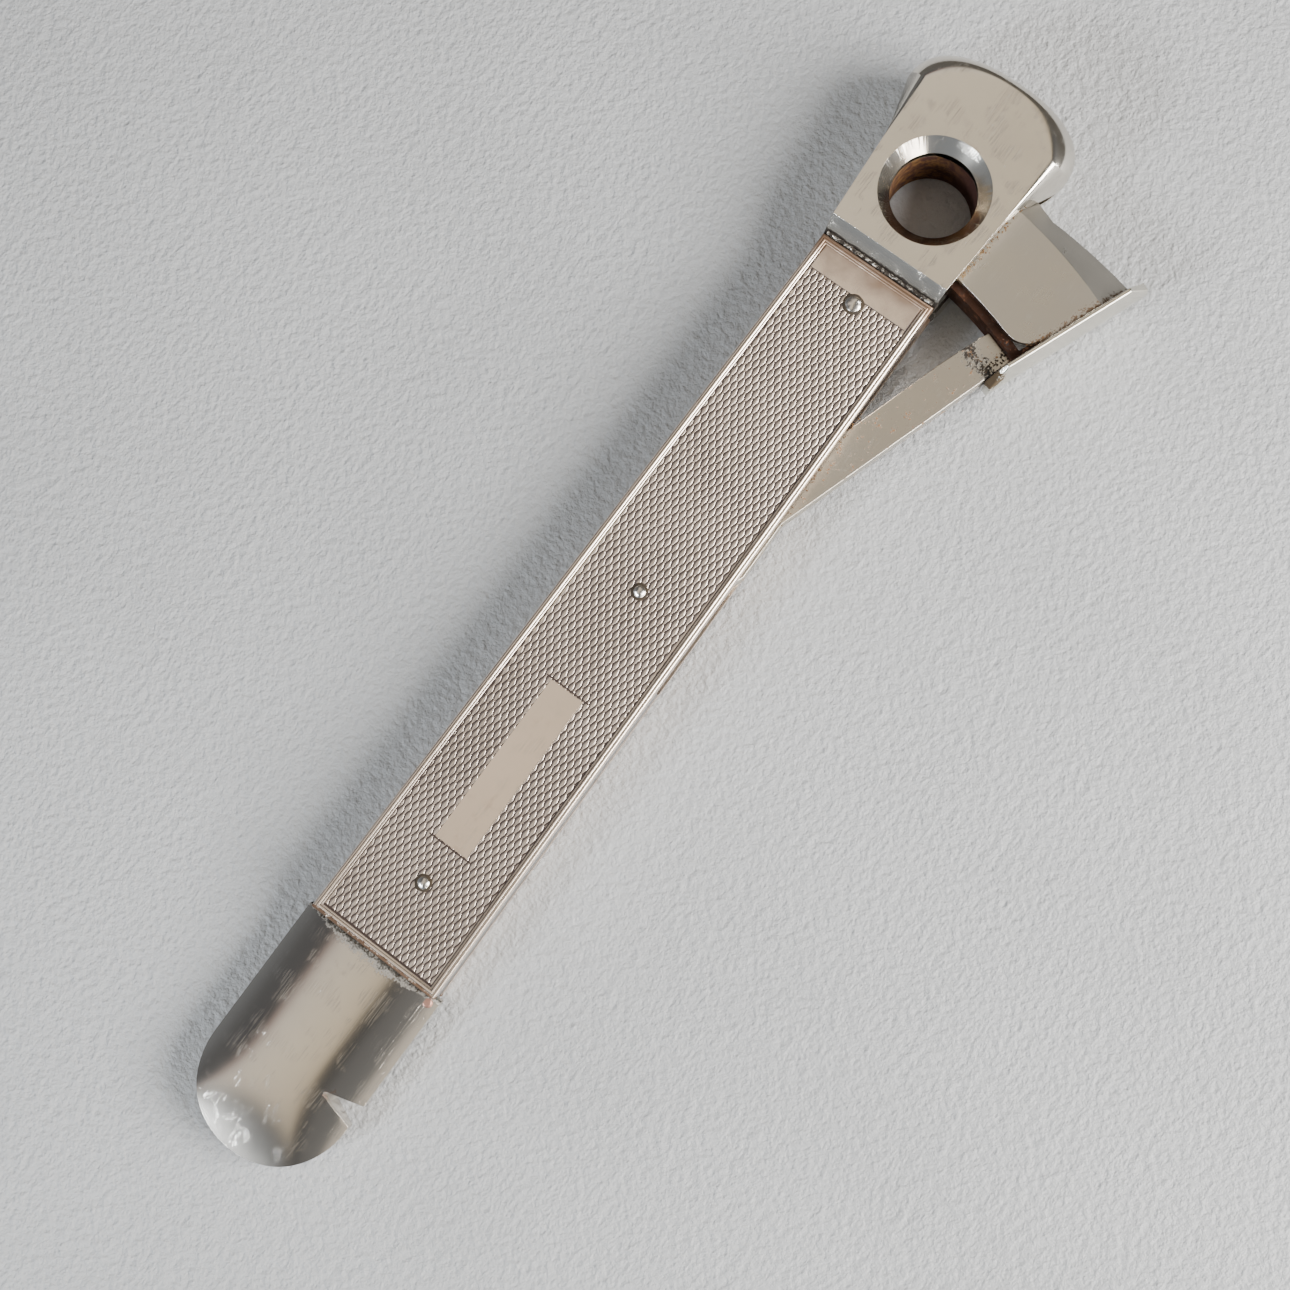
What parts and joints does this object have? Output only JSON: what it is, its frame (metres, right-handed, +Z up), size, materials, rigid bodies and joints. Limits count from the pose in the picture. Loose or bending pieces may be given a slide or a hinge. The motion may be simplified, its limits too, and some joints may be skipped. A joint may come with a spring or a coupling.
{
  "type": "cigar cutter",
  "caption": "Table cigar cutter with engine-turned silver scales, a sprung side lever with a folded blade, a countersunk cigar hole and a domed box-opener nose.",
  "frame": {"origin": "axis of the cigar hole on the underside of the head, which is the face that the part rests on", "axes": "+Z up along the cigar hole, out of the countersunk face; +X along the handle towards the head's far end; +Y the closed side, the lever opens towards -Y"},
  "size_m": [0.1723, 0.0425, 0.0109],
  "materials": {
    "nickel": "polished nickel, lightly scratched",
    "silver_scale": "engine-turned silver, tarnished in its lines",
    "liner_steel": "dull steel",
    "worn_steel": "worn nickel on steel with rust specks",
    "blade_steel": "satin steel with spots",
    "rusty_steel": "rusted and soiled",
    "spring_steel": "blued",
    "silver_pin": "worn bright",
    "braze": "dull copper braze",
    "bronze": "dull bronze",
    "solder": "pitted solder"
  },
  "bodies": {
    "handle": {"head_block": "nickel", "shoulder_beads": "solder", "upper_scale": "silver_scale", "lower_scale": "silver_scale", "upper_liner": "liner_steel", "lower_liner": "liner_steel", "back_spacer": "liner_steel", "front_spacer": "liner_steel", "nose_opener": "nickel", "nose_braze_spot": "braze", "head_pin": "silver_pin", "pivot_pin": "silver_pin", "nose_pin": "silver_pin", "liner_rivets": "liner_steel", "open_stop_pin": "liner_steel", "leaf_spring": "spring_steel", "spring_rivets": "liner_steel", "pivot_washers": "liner_steel"},
    "lever": {"lever_arm": "worn_steel", "pivot_bush": "bronze", "blade_carrier": "rusty_steel", "cutting_blade": "blade_steel", "thumb_plate": "nickel"}
  },
  "joints": [
    {"name": "lever_pivot", "type": "hinge", "parent": "handle", "child": "lever", "pos_m": [-0.0648, 0, 0.00545], "axis": [0, 0, 1], "range_deg": [0, 11.7], "stiffness_Nm_per_rad": 0.12, "springref_deg": -28.65, "deforming": ["leaf_spring"]}
  ]
}
